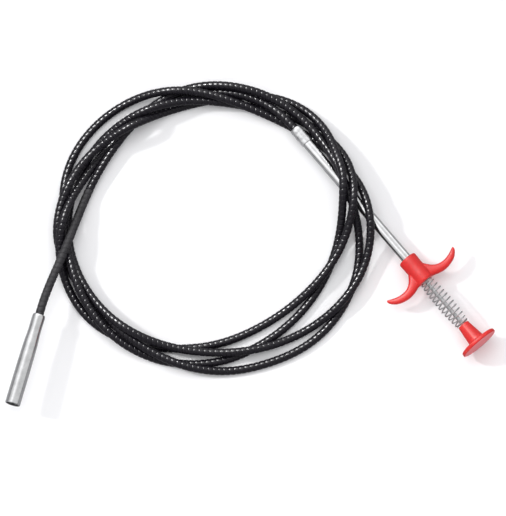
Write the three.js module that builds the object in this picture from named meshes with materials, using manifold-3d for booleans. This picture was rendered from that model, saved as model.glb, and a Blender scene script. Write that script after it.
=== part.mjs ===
// Drain auger: a claw-tipped drain cleaning tool. A long hose lies in a loose coil of about
// four and a half turns. At one end is a plunger handle: steel tube, finger grip, return
// spring and thumb cap. At the other a stepped steel tube holds four wire claws.
// Millimetres, +Z up. Origin at the centre of the footprint, on the floor plane.
import * as THREE from 'three';
import { mergeVertices } from 'three/addons/utils/BufferGeometryUtils.js';
import Module from 'manifold-3d';

// ---------------------------------------------------------------- placing
// Each line is a point and a direction. Stations are distances along it, the local Z.
const HANDLE_AT = [32.641, 97.208, 11.300];         // ferrule mouth
const HANDLE_DIR = [0.640955, -0.767359, 0.018353]; // towards the thumb cap
const TIP_AT = [-161.728, -48.233, 22.300];         // rear end of the tip tube
const TIP_DIR = [-0.275933, -0.960443, 0.037559];   // towards its mouth
const SHIFT = [1.9167, -7.9864, 0.0552];            // brings the footprint's centre to the origin

const CABLE_RADIUS = 1.1;        // all three cable pieces

// ---------------------------------------------------------------- materials
const steel = () => new THREE.MeshStandardMaterial({
  color: 0xc9ccce, roughness: 0.25, metalness: 1.0,
});
const zinc = () => new THREE.MeshStandardMaterial({
  color: 0xb9bcc0, roughness: 0.35, metalness: 1.0,
});
const blackHose = () => new THREE.MeshStandardMaterial({
  color: 0x1d1b20, roughness: 0.45, metalness: 0.2,
});
const redPlastic = () => new THREE.MeshStandardMaterial({
  color: 0xe4352f, roughness: 0.35, metalness: 0.0,
});
const nylon = () => new THREE.MeshStandardMaterial({
  color: 0xe8e6df, roughness: 0.5, metalness: 0.0,
});

// ---------------------------------------------------------------- helpers
const wasm = await Module();
wasm.setup();

// merges shared vertices, drops collapsed faces and turns the faces outward
function welded(geometry) {
  const loose = geometry.index ? geometry.toNonIndexed() : geometry.clone();
  for (const name of Object.keys(loose.attributes)) {
    if (name !== 'position') loose.deleteAttribute(name);
  }
  const merged = mergeVertices(loose, 1e-4);
  const corner = (i) => new THREE.Vector3().fromBufferAttribute(merged.attributes.position, i);
  const faces = [];
  let volume = 0;                // six times the signed volume
  for (let i = 0; i < merged.index.count; i += 3) {
    const face = [0, 1, 2].map((k) => merged.index.getX(i + k));
    if (new Set(face).size < 3) continue;
    const [first, second, third] = face.map(corner);
    volume += first.dot(second.cross(third));
    faces.push(face);
  }
  if (volume < 0) for (const face of faces) face.splice(1, 2, face[2], face[1]);
  merged.setIndex(faces.flat());
  merged.computeVertexNormals();
  return merged;
}

function toManifold(geometry) {
  const solid = welded(geometry);
  return new wasm.Manifold(new wasm.Mesh({
    numProp: 3,
    vertProperties: new Float32Array(solid.attributes.position.array),
    triVerts: new Uint32Array(solid.index.array),
  }));
}

function fromManifold(solid) {
  const { vertProperties, triVerts } = solid.getMesh();
  const geometry = new THREE.BufferGeometry();
  geometry.setAttribute('position', new THREE.BufferAttribute(new Float32Array(vertProperties), 3));
  geometry.setIndex(new THREE.BufferAttribute(new Uint32Array(triVerts), 1));
  return welded(geometry);
}

// turned shape about Z from [radius, station] points; a profile off the axis closes on itself
function turned(profile, sides = 24) {
  const points = profile.map(([radius, station]) => new THREE.Vector2(radius, station));
  const onAxis = profile[0][0] === 0 && profile.at(-1)[0] === 0;
  if (!onAxis) points.push(points[0].clone());
  return welded(new THREE.LatheGeometry(points, sides).rotateX(Math.PI / 2));
}

const bar = (radius, from, to, sides) => turned(
  [[0, from], [radius, from], [radius, to], [0, to]], sides);

const pipe = (inner, outer, from, to, sides) => turned(
  [[inner, from], [inner, to], [outer, to], [outer, from]], sides);

function ring(radius, sides) {
  return Array.from({ length: sides }, (_, i) => {
    const angle = (i / sides) * 2 * Math.PI;
    return new THREE.Vector2(radius * Math.cos(angle), radius * Math.sin(angle));
  });
}

// round bar, or pipe if it has a bore, swept along a curve
function swept({ curve, steps }, { radius, sides, bore }) {
  const shape = new THREE.Shape(ring(radius, sides));
  if (bore) shape.holes.push(new THREE.Path(ring(bore.radius, bore.sides).reverse()));
  const options = { steps, bevelEnabled: false, extrudePath: curve };
  return welded(new THREE.ExtrudeGeometry(shape, options));
}

// group with its local Z along a direction and its local X level
function lineGroup(at, direction) {
  const z = new THREE.Vector3(...direction).normalize();
  const x = new THREE.Vector3(-z.y, z.x, 0).normalize();
  const y = new THREE.Vector3().crossVectors(z, x);
  const group = new THREE.Group();
  group.position.set(...at);
  group.quaternion.setFromRotationMatrix(new THREE.Matrix4().makeBasis(x, y, z));
  return group;
}

function put(group, name, geometry, material) {
  const mesh = new THREE.Mesh(geometry, material);
  mesh.name = name;
  group.add(mesh);
}

// ---------------------------------------------------------------- hose and inner cable
const HOSE_RADIUS = 3.15;
const HOSE_BORE_RADIUS = 2.0;
const HOSE_IN_TIP = 12;          // hose length held inside the tip tube
const JOINT_GAP = 2.4;           // open length left at each of two bends near the tip
const COIL_BEND_FROM_TIP = 31;   // bend centres, measured back from the tip tube's rear end
const END_BEND_FROM_TIP = 17;

// hose centreline [x, y, z], from inside the handle ferrule to inside the tip tube
const HOSE_PATH = [
  [37.77, 91.07, 11.45], [36.17, 92.99, 11.4], [34.56, 94.91, 11.36], [33.28, 96.44, 11.32], [30.05, 99.75, 11.24],
  [23.26, 107.09, 11], [15.63, 113.47, 10.07], [7.1, 118.6, 9.11], [-2.15, 122.41, 9.28], [-11.81, 125.01, 9.63],
  [-21.65, 126.68, 8.83], [-31.43, 127.45, 6.82], [-41.2, 127.13, 4.66], [-50.98, 125.43, 3.4], [-60.49, 122.32, 3.15],
  [-69.58, 118.12, 3.15], [-78.2, 113.02, 3.15], [-86.34, 107.18, 3.15], [-94.02, 100.74, 3.15], [-101.27, 93.83, 3.15],
  [-108.13, 86.53, 3.16], [-114.64, 78.92, 3.44], [-120.71, 71.05, 4.64], [-126.31, 63.02, 6.76], [-131.48, 54.82, 9.3],
  [-135.83, 46.61, 13], [-139.42, 38.49, 17.65], [-142.93, 29.49, 20.08], [-145.52, 19.91, 19.15], [-146.82, 10.56, 15.83],
  [-146.79, 1.37, 11.86], [-145.46, -7.91, 8.34], [-142.89, -17.16, 5.51], [-139.16, -26.28, 3.73], [-134.35, -35.03, 3.17],
  [-128.44, -43.12, 3.15], [-121.42, -50.25, 3.15], [-113.4, -56.24, 3.14], [-104.61, -61.05, 3.13], [-95.31, -64.77, 3.14],
  [-85.68, -67.49, 3.15], [-75.83, -69.32, 3.15], [-65.86, -70.35, 3.15], [-55.85, -70.64, 3.15], [-45.84, -70.21, 3.15],
  [-35.9, -69, 3.15], [-26.1, -66.91, 3.15], [-16.53, -63.96, 3.15], [-7.22, -60.25, 3.15], [1.8, -55.9, 3.15],
  [10.55, -51.01, 3.15], [18.99, -45.62, 3.2], [27.12, -39.8, 3.78], [34.88, -33.67, 5.36], [42.21, -27.17, 7.49],
  [49.06, -20.04, 9.01], [55.33, -12.25, 9.62], [60.91, -3.93, 9.74], [65.77, 4.78, 10.56], [69.78, 13.6, 13.05],
  [72.82, 22.23, 17.1], [74.94, 30.79, 21.85], [76.17, 40.1, 25.22], [76.31, 50.02, 24.64], [75.29, 59.23, 20.9],
  [73.13, 67.77, 16.15], [69.63, 75.88, 11.44], [64.67, 83.59, 7.43], [58.31, 90.78, 4.63], [50.73, 97.18, 3.3],
  [42.31, 102.59, 3.11], [33.32, 107.01, 3.14], [23.91, 110.44, 3.14], [14.25, 113.1, 3.14], [4.46, 115.2, 3.31],
  [-5.36, 116.89, 4.35], [-15.1, 118.2, 6.29], [-24.86, 119.13, 8.37], [-34.76, 119.75, 9.74], [-44.68, 119.73, 11.11],
  [-54.42, 118.73, 13.21], [-63.86, 116.71, 15.88], [-73.18, 113.88, 18.19], [-82.55, 110.52, 18.12], [-91.33, 106.62, 15.3],
  [-99.57, 101.91, 12.13], [-107.2, 96.69, 8.27], [-114.31, 90.4, 5.13], [-120.76, 82.92, 3.51], [-126.34, 74.62, 3.15],
  [-131.06, 65.78, 3.14], [-134.87, 56.52, 3.15], [-137.76, 46.93, 3.14], [-139.67, 37.1, 3.13], [-140.56, 27.12, 3.1],
  [-140.34, 17.11, 3.18], [-139.07, 7.24, 4.23], [-136.81, -2.32, 6.19], [-133.59, -11.61, 8.1], [-129.36, -20.62, 9.07],
  [-124.19, -29.18, 9.7], [-118.31, -37.19, 10.99], [-111.89, -44.54, 13.2], [-104.86, -51.2, 15.78], [-96.96, -57.12, 17.35],
  [-88.3, -61.93, 16.17], [-79.34, -65.62, 13.62], [-70.06, -68.61, 11.34], [-60.44, -71.06, 9.98], [-50.63, -72.9, 9.22],
  [-40.7, -74, 8.39], [-30.71, -74.57, 8.01], [-20.71, -74.67, 8.54], [-10.74, -74.19, 9.44], [-0.83, -72.82, 9.5],
  [8.83, -70.5, 8.25], [18.05, -67.33, 5.97], [27.08, -63.5, 3.97], [36.03, -59.08, 3.19], [44.7, -54.11, 3.84],
  [52.87, -48.65, 5.76], [60.49, -42.57, 8.03], [67.5, -35.54, 9.32], [73.72, -27.7, 9.67], [79.01, -19.2, 9.39],
  [83.33, -10.17, 9.35], [86.56, -0.8, 10.7], [88.53, 8.56, 13.63], [89.23, 17.82, 17.36], [88.68, 27.37, 20.28],
  [86.95, 37.18, 20.15], [84.16, 46.33, 17.25], [80.42, 54.63, 13.07], [75.79, 62.48, 8.92], [70.13, 70.03, 5.59],
  [63.38, 77.16, 3.68], [55.8, 83.68, 3.16], [47.72, 89.61, 3.15], [39.31, 95.05, 3.16], [30.62, 100, 3.6],
  [21.74, 104.36, 5.14], [12.75, 108.26, 7.26], [3.62, 112, 9], [-5.6, 115.46, 10.82], [-14.88, 118.63, 12.9],
  [-24.31, 121.59, 14.49], [-33.96, 124.23, 15.03], [-43.8, 126.09, 15.29], [-53.78, 126.91, 15.54], [-63.77, 126.69, 15],
  [-73.37, 125.72, 12.4], [-82.52, 123.93, 8.74], [-91.54, 120.98, 5.55], [-100.38, 116.68, 3.69], [-108.73, 111.19, 3.17],
  [-116.43, 104.79, 3.15], [-123.43, 97.62, 3.15], [-129.63, 89.75, 3.15], [-134.91, 81.25, 3.15], [-139.14, 72.17, 3.16],
  [-142.15, 62.63, 3.49], [-143.84, 52.84, 4.72], [-144.4, 43.02, 6.6], [-144.14, 33.15, 8.29], [-143.23, 23.21, 9.12],
  [-141.97, 13.31, 9.88], [-140.48, 3.49, 11.22], [-138.53, -6.19, 12.91], [-135.92, -15.81, 13.88], [-132.5, -25.21, 13.46],
  [-128.19, -34.18, 12.33], [-122.99, -42.69, 11.5], [-116.97, -50.69, 11.2], [-110.2, -58.05, 10.62], [-102.68, -64.51, 9.26],
  [-94.41, -69.93, 7.69], [-85.67, -74.3, 5.49], [-76.44, -77.8, 3.84], [-66.8, -80.42, 3.2], [-56.91, -82.05, 3.15],
  [-46.92, -82.64, 3.14], [-36.91, -82.23, 3.14], [-26.99, -80.84, 3.15], [-17.29, -78.36, 3.15], [-7.94, -74.77, 3.15],
  [1.04, -70.33, 3.14], [9.68, -65.26, 3.14], [17.93, -59.57, 3.15], [25.7, -53.25, 3.15], [32.93, -46.32, 3.15],
  [39.58, -38.83, 3.15], [45.62, -30.83, 3.15], [51, -22.38, 3.15], [55.68, -13.53, 3.15], [59.62, -4.32, 3.16],
  [62.79, 5.16, 3.79], [65.15, 14.57, 6.2], [66.73, 23.44, 10.55], [67.69, 31.72, 16.1], [68.17, 39.94, 21.8],
  [68.38, 49.07, 25.82], [68.12, 59.02, 26.38], [65.87, 68.6, 24.71], [62.8, 77.61, 21.61], [59.94, 86.12, 17.17],
  [56.25, 94.17, 12.49], [51.32, 101.85, 8.39], [44.98, 108.94, 5.28], [37.22, 115, 3.57], [28.37, 119.65, 3.16],
  [18.89, 122.87, 3.15], [9.05, 124.71, 3.15], [-0.95, 125.3, 3.15], [-10.95, 124.86, 3.14], [-20.9, 123.67, 3.15],
  [-30.78, 121.97, 3.15], [-40.59, 119.95, 3.15], [-50.32, 117.56, 3.21], [-59.84, 114.63, 4.17], [-68.7, 111.07, 7.11],
  [-76.53, 107.1, 11.91], [-83.68, 102.94, 17.56], [-91.97, 98.59, 20.84], [-100.77, 94.07, 19.66], [-109, 89.27, 16.58],
  [-116.83, 83.66, 13.85], [-124.14, 76.93, 12.73], [-130.53, 69.27, 13.43], [-135.94, 61, 15.08], [-140.59, 52.21, 16.23],
  [-144.46, 43.1, 14.97], [-147.05, 33.48, 14.23], [-148.58, 23.6, 13.84], [-148.7, 14.42, 10.08], [-146.88, 5.9, 5.23],
  [-143.18, -3.16, 3.3], [-138.32, -11.92, 3.13], [-132.88, -20.33, 3.14], [-127.04, -28.47, 3.16], [-120.87, -36.36, 3.53],
  [-114.49, -43.92, 5.04], [-107.95, -51, 7.79], [-101.1, -57.59, 10.93], [-93.35, -63.84, 11.56], [-85.09, -69.43, 10.65],
  [-76.47, -74.48, 9.84], [-67.54, -79, 9.66], [-58.28, -82.82, 9.62], [-48.71, -85.7, 8.9], [-38.99, -87.46, 7.28],
  [-29.22, -88.16, 5.18], [-19.33, -87.97, 3.68], [-9.38, -86.88, 3.18], [0.44, -84.93, 3.15], [10.09, -82.24, 3.15],
  [19.55, -78.94, 3.15], [28.74, -74.96, 3.15], [37.53, -70.16, 3.15], [45.76, -64.45, 3.15], [53.26, -57.81, 3.15],
  [59.97, -50.37, 3.15], [65.85, -42.27, 3.15], [70.88, -33.61, 3.15], [74.98, -24.47, 3.15], [78.07, -14.94, 3.15],
  [80.03, -5.12, 3.19], [80.86, 4.82, 3.95], [80.59, 14.5, 6.45], [79.36, 23.55, 10.53], [77.26, 32.15, 15.22],
  [74.45, 41, 18.93], [71.25, 50.39, 20.18], [67.6, 59.71, 19.75], [63.56, 68.72, 18.1], [59.15, 77.26, 15.32],
  [54.15, 85.44, 12.4], [48.44, 93.43, 10.46], [41.96, 101.03, 9.76], [34.78, 108.02, 9.68], [26.96, 114.25, 10.05],
  [18.49, 119.47, 11.18], [9.49, 123.67, 12.5], [0.09, 126.94, 13.58], [-9.62, 129.29, 14.29], [-19.5, 130.87, 13.95],
  [-29.36, 131.64, 12.37], [-39.17, 131.34, 10.38], [-48.95, 129.65, 9.11], [-58.42, 126.44, 8.93], [-67.32, 121.86, 9.27],
  [-75.59, 116.21, 9.56], [-83.24, 109.75, 9.69], [-90.34, 102.69, 9.62], [-96.96, 95.18, 9.35], [-103.17, 87.33, 8.88],
  [-108.97, 79.17, 8.31], [-114.31, 70.71, 7.93], [-119.23, 62, 7.35], [-123.73, 53.1, 6.39], [-127.74, 43.93, 6.38],
  [-131.3, 34.72, 8.01], [-134.51, 25.7, 10.95], [-137.57, 16.81, 14.43], [-140.8, 7.77, 17.25], [-144.46, -1.48, 18.33],
  [-148.35, -10.71, 18.64], [-152.2, -19.94, 19.33], [-155.79, -29.2, 20.58], [-159.01, -38.6, 21.88], [-161.73, -48.23, 22.3],
  [-163.38, -54, 22.53], [-165.04, -59.76, 22.75],
];

const smoothThrough = (points) => new THREE.CatmullRomCurve3(
  points.map((point) => new THREE.Vector3(...point)), false, 'centripetal');

const hoseLine = smoothThrough(HOSE_PATH);
hoseLine.arcLengthDivisions = HOSE_PATH.length * 8;
const hoseLength = hoseLine.getLength();

// straight-sided path along the hose centreline between two arc lengths
function hoseStretch(from, to, spacing) {
  const steps = Math.max(2, Math.round((to - from) / spacing));
  const pointAt = (i) => hoseLine.getPointAt((from + ((to - from) * i) / steps) / hoseLength);
  const curve = new THREE.CurvePath();
  for (let i = 0; i < steps; i++) curve.add(new THREE.LineCurve3(pointAt(i), pointAt(i + 1)));
  return { curve, steps };
}

const hosePiece = (stretch, sides, boreSides) => swept(stretch, {
  radius: HOSE_RADIUS, sides, bore: { radius: HOSE_BORE_RADIUS, sides: boreSides },
});

function addHose(group) {
  const tipRear = hoseLength - HOSE_IN_TIP;
  const coilBend = tipRear - COIL_BEND_FROM_TIP;
  const endBend = tipRear - END_BEND_FROM_TIP;
  const halfGap = JOINT_GAP / 2;
  const coil = hoseStretch(0, coilBend - halfGap, 10.2);
  const link = hoseStretch(coilBend + halfGap, endBend - halfGap, 4);
  const end = hoseStretch(endBend + halfGap, hoseLength, 7);
  put(group, 'hose_coil', hosePiece(coil, 8, 5), blackHose());
  put(group, 'inner_cable', swept(coil, { radius: CABLE_RADIUS, sides: 4 }), zinc());
  put(group, 'hose_link', hosePiece(link, 10, 6), blackHose());
  put(group, 'hose_end', hosePiece(end, 10, 6), blackHose());
}

// ---------------------------------------------------------------- handle, fixed parts
const FERRULE_RADIUS = 4.5;
const FERRULE_END = 13.6;
const TUBE = { bore: 3.35, radius: 3.95, start: 8.8, end: 151.0 };

const GRIP_START = 131.0;
const GRIP_END = 153.6;
const GRIP_BORE_RADIUS = 4.25;
const GRIP_BORE_OVERRUN = 5;     // cutter length beyond each end of the collar
const COLLAR_RADIUS = 7.3;
const COLLAR_CHAMFER = 0.6;
const WING_THICK = 8.0;
const WING_EDGE = 1.2;           // depth of the separate band of faces along each wing edge

// right half of the wing outline [x, station], from the rear middle round to the cap side
const WING_HALF = [
  [0, 140.2], [6.6, 140.4], [8.8, 143.5], [11.4, 146.5], [14.8, 148.7], [18.5, 149.6],
  [22.5, 149.5], [26.5, 148.6], [30.0, 147.2], [32.6, 146.0], [33.2, 146.5], [32.9, 148.2],
  [31.0, 151.0], [28.0, 153.4], [24.0, 155.1], [20.0, 155.9], [16.0, 156.0], [12.0, 155.3],
  [8.5, 154.2], [5.8, 153.5], [0, 153.5],
];

const hoseFerrule = () => turned([
  [3.45, -1.5], [3.45, 8.3], [4.1, 8.5], [4.1, FERRULE_END], [4.35, FERRULE_END],
  [FERRULE_RADIUS, FERRULE_END - 0.6], [FERRULE_RADIUS, -0.4], [4.1, -1.5],
]);

const tubeEndBush = () => turned([
  [1.75, 143], [1.75, 153.2], [3.9, 153.2], [3.9, 151.3], [3.1, 151.3], [3.1, 143],
], 16);

// two crescent wings, drawn in the local X-Z plane with their thickness along Y
function gripWings() {
  const otherHalf = WING_HALF.slice(1, -1).reverse().map(([x, z]) => [-x, z]);
  const outline = [...WING_HALF, ...otherHalf].map(([x, z]) => new THREE.Vector2(x, z));
  const depth = WING_THICK - 2 * WING_EDGE;
  return new THREE.ExtrudeGeometry(new THREE.Shape(outline), {
    depth, bevelEnabled: true, bevelSegments: 1, bevelThickness: WING_EDGE, bevelSize: 0, steps: 1,
  }).rotateX(Math.PI / 2).translate(0, depth / 2, 0);
}

const gripCollar = () => turned([
  [0, GRIP_START], [COLLAR_RADIUS - COLLAR_CHAMFER, GRIP_START],
  [COLLAR_RADIUS, GRIP_START + COLLAR_CHAMFER], [COLLAR_RADIUS, GRIP_END - COLLAR_CHAMFER],
  [COLLAR_RADIUS - COLLAR_CHAMFER, GRIP_END], [0, GRIP_END],
]);

// wings and collar in one moulding, bored for the tube
function fingerGrip() {
  const bore = bar(GRIP_BORE_RADIUS, GRIP_START - GRIP_BORE_OVERRUN, GRIP_END + GRIP_BORE_OVERRUN);
  const body = toManifold(gripWings()).add(toManifold(gripCollar()));
  return fromManifold(body.subtract(toManifold(bore)));
}

// ---------------------------------------------------------------- handle, plunger
const ROD_RADIUS = 1.5;
const ROD = { start: 98.3, end: 212.0 };
const ROD_HOLE_RADIUS = ROD_RADIUS + 0.2;
const PLUNGER_CABLE = { start: 40, end: 97.6 };

const CAP = {
  start: 197.3, socketEnd: 212.4, flange: 213.6, end: 217.1,
  smallRadius: 4.6, largeRadius: 6.5, flangeRadius: 15.3,
};

// barrel spring, widest half way along
const SPRING = {
  endRadius: 4.5, maxRadius: 6.2, wireRadius: 0.55, turns: 12.5,
  gap: 0.3,                      // clearance to the grip and to the cap
  endShare: 0.06,                // share of the wire in each nearly closed end
  endRise: 0.35,                 // rise along the ends, as a share of the average
};

const thumbCap = () => turned([
  [0, CAP.socketEnd], [ROD_HOLE_RADIUS, CAP.socketEnd], [ROD_HOLE_RADIUS, CAP.start],
  [CAP.smallRadius - 0.4, CAP.start], [CAP.smallRadius, CAP.start + 0.4],
  [CAP.largeRadius, CAP.flange - 1.0], [CAP.largeRadius + 1.0, CAP.flange],
  [CAP.flangeRadius - 0.6, CAP.flange + 0.3], [CAP.flangeRadius, CAP.flange + 1.2],
  [CAP.flangeRadius, CAP.end - 0.6], [CAP.flangeRadius - 0.6, CAP.end], [0, CAP.end],
], 32);

// stepped sleeve over the joint of cable and rod
const rodCrimp = () => turned([
  [CABLE_RADIUS + 0.3, 86], [CABLE_RADIUS + 0.3, 98.0], [ROD_HOLE_RADIUS, 98.1],
  [ROD_HOLE_RADIUS, 106], [2.4, 106], [2.4, 86],
], 14);

class SpringLine extends THREE.Curve {
  getPoint(t, target = new THREE.Vector3()) {
    const { endRadius, maxRadius, wireRadius, turns, gap, endShare, endRise } = SPRING;
    const from = GRIP_END + gap + wireRadius;
    const to = CAP.start - gap - wireRadius;
    const radius = endRadius + (maxRadius - endRadius) * Math.sin(Math.PI * t) ** 0.7;
    const middleRise = (1 - 2 * endRise * endShare) / (1 - 2 * endShare);
    let rise = endRise * endShare + (t - endShare) * middleRise;
    if (t < endShare) rise = endRise * t;
    else if (t > 1 - endShare) rise = 1 - endRise * (1 - t);
    const angle = t * turns * 2 * Math.PI;
    const z = from + (to - from) * rise;
    return target.set(radius * Math.cos(angle), radius * Math.sin(angle), z);
  }
}

const returnSpring = () => swept(
  { curve: new SpringLine(), steps: 125 }, { radius: SPRING.wireRadius, sides: 5 });

function addHandle(group) {
  put(group, 'hose_ferrule', hoseFerrule(), zinc());
  put(group, 'handle_tube', pipe(TUBE.bore, TUBE.radius, TUBE.start, TUBE.end), steel());
  put(group, 'tube_end_bush', tubeEndBush(), nylon());
  put(group, 'finger_grip', fingerGrip(), redPlastic());
  put(group, 'thumb_cap', thumbCap(), redPlastic());
  put(group, 'plunger_rod', bar(ROD_RADIUS, ROD.start, ROD.end, 12), steel());
  put(group, 'rod_crimp', rodCrimp(), zinc());
  const cable = bar(CABLE_RADIUS, PLUNGER_CABLE.start, PLUNGER_CABLE.end, 8);
  put(group, 'plunger_cable', cable, zinc());
  put(group, 'return_spring', returnSpring(), steel());
}

// ---------------------------------------------------------------- tip
const TIP_LENGTH = 71.9;
const TIP_RADIUS = 5.75;
const TIP_BORE_RADIUS = 4.8;

const CLAW_COUNT = 4;
const CLAW_WIRE_RADIUS = 0.45;
const CLAW_PIVOT = 40.4;         // station of the claw roots
// centreline of one claw [distance from pivot, radius]: straight root, outward bow, hooked end
const CLAW_LINE = [
  [-1.7, 1.35], [0, 1.35], [8, 1.45], [14, 1.6], [19, 1.95],
  [24, 2.6], [27.6, 3.35], [29.6, 3.45], [30.45, 2.7], [30.45, 1.75],
];

const HUB = { rear: CLAW_PIVOT - 7.4, front: CLAW_PIVOT + 0.8, radius: 2.7, boreDepth: 3.6 };
const SLOT = {
  width: 2 * CLAW_WIRE_RADIUS + 0.7, innerRadius: 0.45, length: 4, // length is radial
  depth: 3.6, overrun: 0.6,      // behind and beyond the hub's front face
};
const CRIMP_RING = { bore: 3.0, radius: 3.6, start: HUB.rear + 3.0, end: HUB.front - 0.4 };
const CLAW_CABLE = { start: -13, end: HUB.rear + 3.3 };

const clawAngle = (i) => (i / CLAW_COUNT) * 2 * Math.PI + Math.PI / 4;

// stepped tube, widening towards the mouth
const tipTube = () => turned([
  [3.6, 0], [3.6, 13], [4.3, 16], [TIP_BORE_RADIUS, 27], [TIP_BORE_RADIUS, TIP_LENGTH],
  [TIP_RADIUS - 0.25, TIP_LENGTH], [TIP_RADIUS, TIP_LENGTH - 0.4], [TIP_RADIUS, 50],
  [5.65, 36], [5.5, 25], [5.1, 17], [4.85, 12], [4.85, 1.5], [4.5, 0],
]);

// bored from the rear for the cable, slotted in front for the claw roots
function clawHub() {
  const boreRadius = CABLE_RADIUS + 0.25;
  const boreEnd = HUB.rear + HUB.boreDepth;
  let hub = toManifold(turned([
    [0, boreEnd], [boreRadius, boreEnd], [boreRadius, HUB.rear],
    [HUB.radius, HUB.rear], [HUB.radius, HUB.front], [0, HUB.front],
  ], 20));
  const height = SLOT.depth + SLOT.overrun;
  for (let i = 0; i < CLAW_COUNT; i++) {
    const slot = new THREE.BoxGeometry(SLOT.length, SLOT.width, height)
      .translate(SLOT.innerRadius + SLOT.length / 2, 0, HUB.front + SLOT.overrun - height / 2)
      .rotateZ(clawAngle(i));
    hub = hub.subtract(toManifold(slot));
  }
  return fromManifold(hub);
}

function claw(i) {
  const curve = smoothThrough(CLAW_LINE.map(([ahead, radius]) => [radius, 0, CLAW_PIVOT + ahead]));
  return swept({ curve, steps: 18 }, { radius: CLAW_WIRE_RADIUS, sides: 6 }).rotateZ(clawAngle(i));
}

function addTip(group) {
  const { bore, radius, start, end } = CRIMP_RING;
  put(group, 'tip_tube', tipTube(), steel());
  put(group, 'claw_hub', clawHub(), zinc());
  put(group, 'claw_crimp_ring', pipe(bore, radius, start, end, 16), zinc());
  put(group, 'claw_cable', bar(CABLE_RADIUS, CLAW_CABLE.start, CLAW_CABLE.end, 8), zinc());
  for (let i = 0; i < CLAW_COUNT; i++) put(group, `claw_${i + 1}`, claw(i), steel());
}

// ---------------------------------------------------------------- assembly
const assembly = new THREE.Group();
assembly.position.set(...SHIFT);
const handle = lineGroup(HANDLE_AT, HANDLE_DIR);
const tip = lineGroup(TIP_AT, TIP_DIR);
assembly.add(handle, tip);
addHose(assembly);
addHandle(handle);
addTip(tip);

export default assembly;
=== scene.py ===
"""A flexible claw pick-up tool, lying on a pale floor.

The handle, with its finger grip, return spring and thumb cap, points to +X -Y. The wound hose
leaves the handle's other end, coils round the middle and ends in a tip tube that points to -Y
and holds four wire claws. +Z is up. Lengths are in millimetres unless a comment says metres.
"""
import math

import bmesh
import bpy
import numpy as np
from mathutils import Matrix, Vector


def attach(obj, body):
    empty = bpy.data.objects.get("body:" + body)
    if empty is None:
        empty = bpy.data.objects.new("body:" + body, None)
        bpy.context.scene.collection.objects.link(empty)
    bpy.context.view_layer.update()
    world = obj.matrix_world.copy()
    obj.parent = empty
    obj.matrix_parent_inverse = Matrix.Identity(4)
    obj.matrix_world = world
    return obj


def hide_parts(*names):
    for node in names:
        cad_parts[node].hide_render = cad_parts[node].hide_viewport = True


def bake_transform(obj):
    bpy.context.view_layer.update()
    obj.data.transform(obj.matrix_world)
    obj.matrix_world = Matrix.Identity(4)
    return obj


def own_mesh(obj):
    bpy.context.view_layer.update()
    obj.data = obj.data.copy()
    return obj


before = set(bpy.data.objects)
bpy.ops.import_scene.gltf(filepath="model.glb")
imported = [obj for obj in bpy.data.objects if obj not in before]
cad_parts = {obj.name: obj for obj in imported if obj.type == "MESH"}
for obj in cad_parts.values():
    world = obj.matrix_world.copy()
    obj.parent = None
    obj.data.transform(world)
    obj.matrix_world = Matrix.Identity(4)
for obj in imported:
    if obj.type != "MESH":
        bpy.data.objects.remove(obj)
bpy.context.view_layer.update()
MM = 0.001

# ------------------------------------------------------------------ layout
# Where the layout's own zero point stands in the frame
LAYOUT_ORIGIN = np.array([1.9167, -7.9864, 0.0552])

# Handle axis: starts in the ferrule and runs towards the thumb cap
HANDLE_AT = np.array([32.641, 97.208, 11.300]) + LAYOUT_ORIGIN
HANDLE_DIR = np.array([0.640955, -0.767359, 0.018353])
HANDLE = (HANDLE_AT, HANDLE_DIR)

# Tip axis: starts at the tube's rear end and runs towards the claws
TIP_AT = np.array([-161.728, -48.233, 22.300]) + LAYOUT_ORIGIN
TIP_DIR = np.array([-0.275933, -0.960443, 0.037559])
TIP = (TIP_AT, TIP_DIR)
TIP_LENGTH = 71.9
CLAW_PIVOT = 40.4

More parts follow.
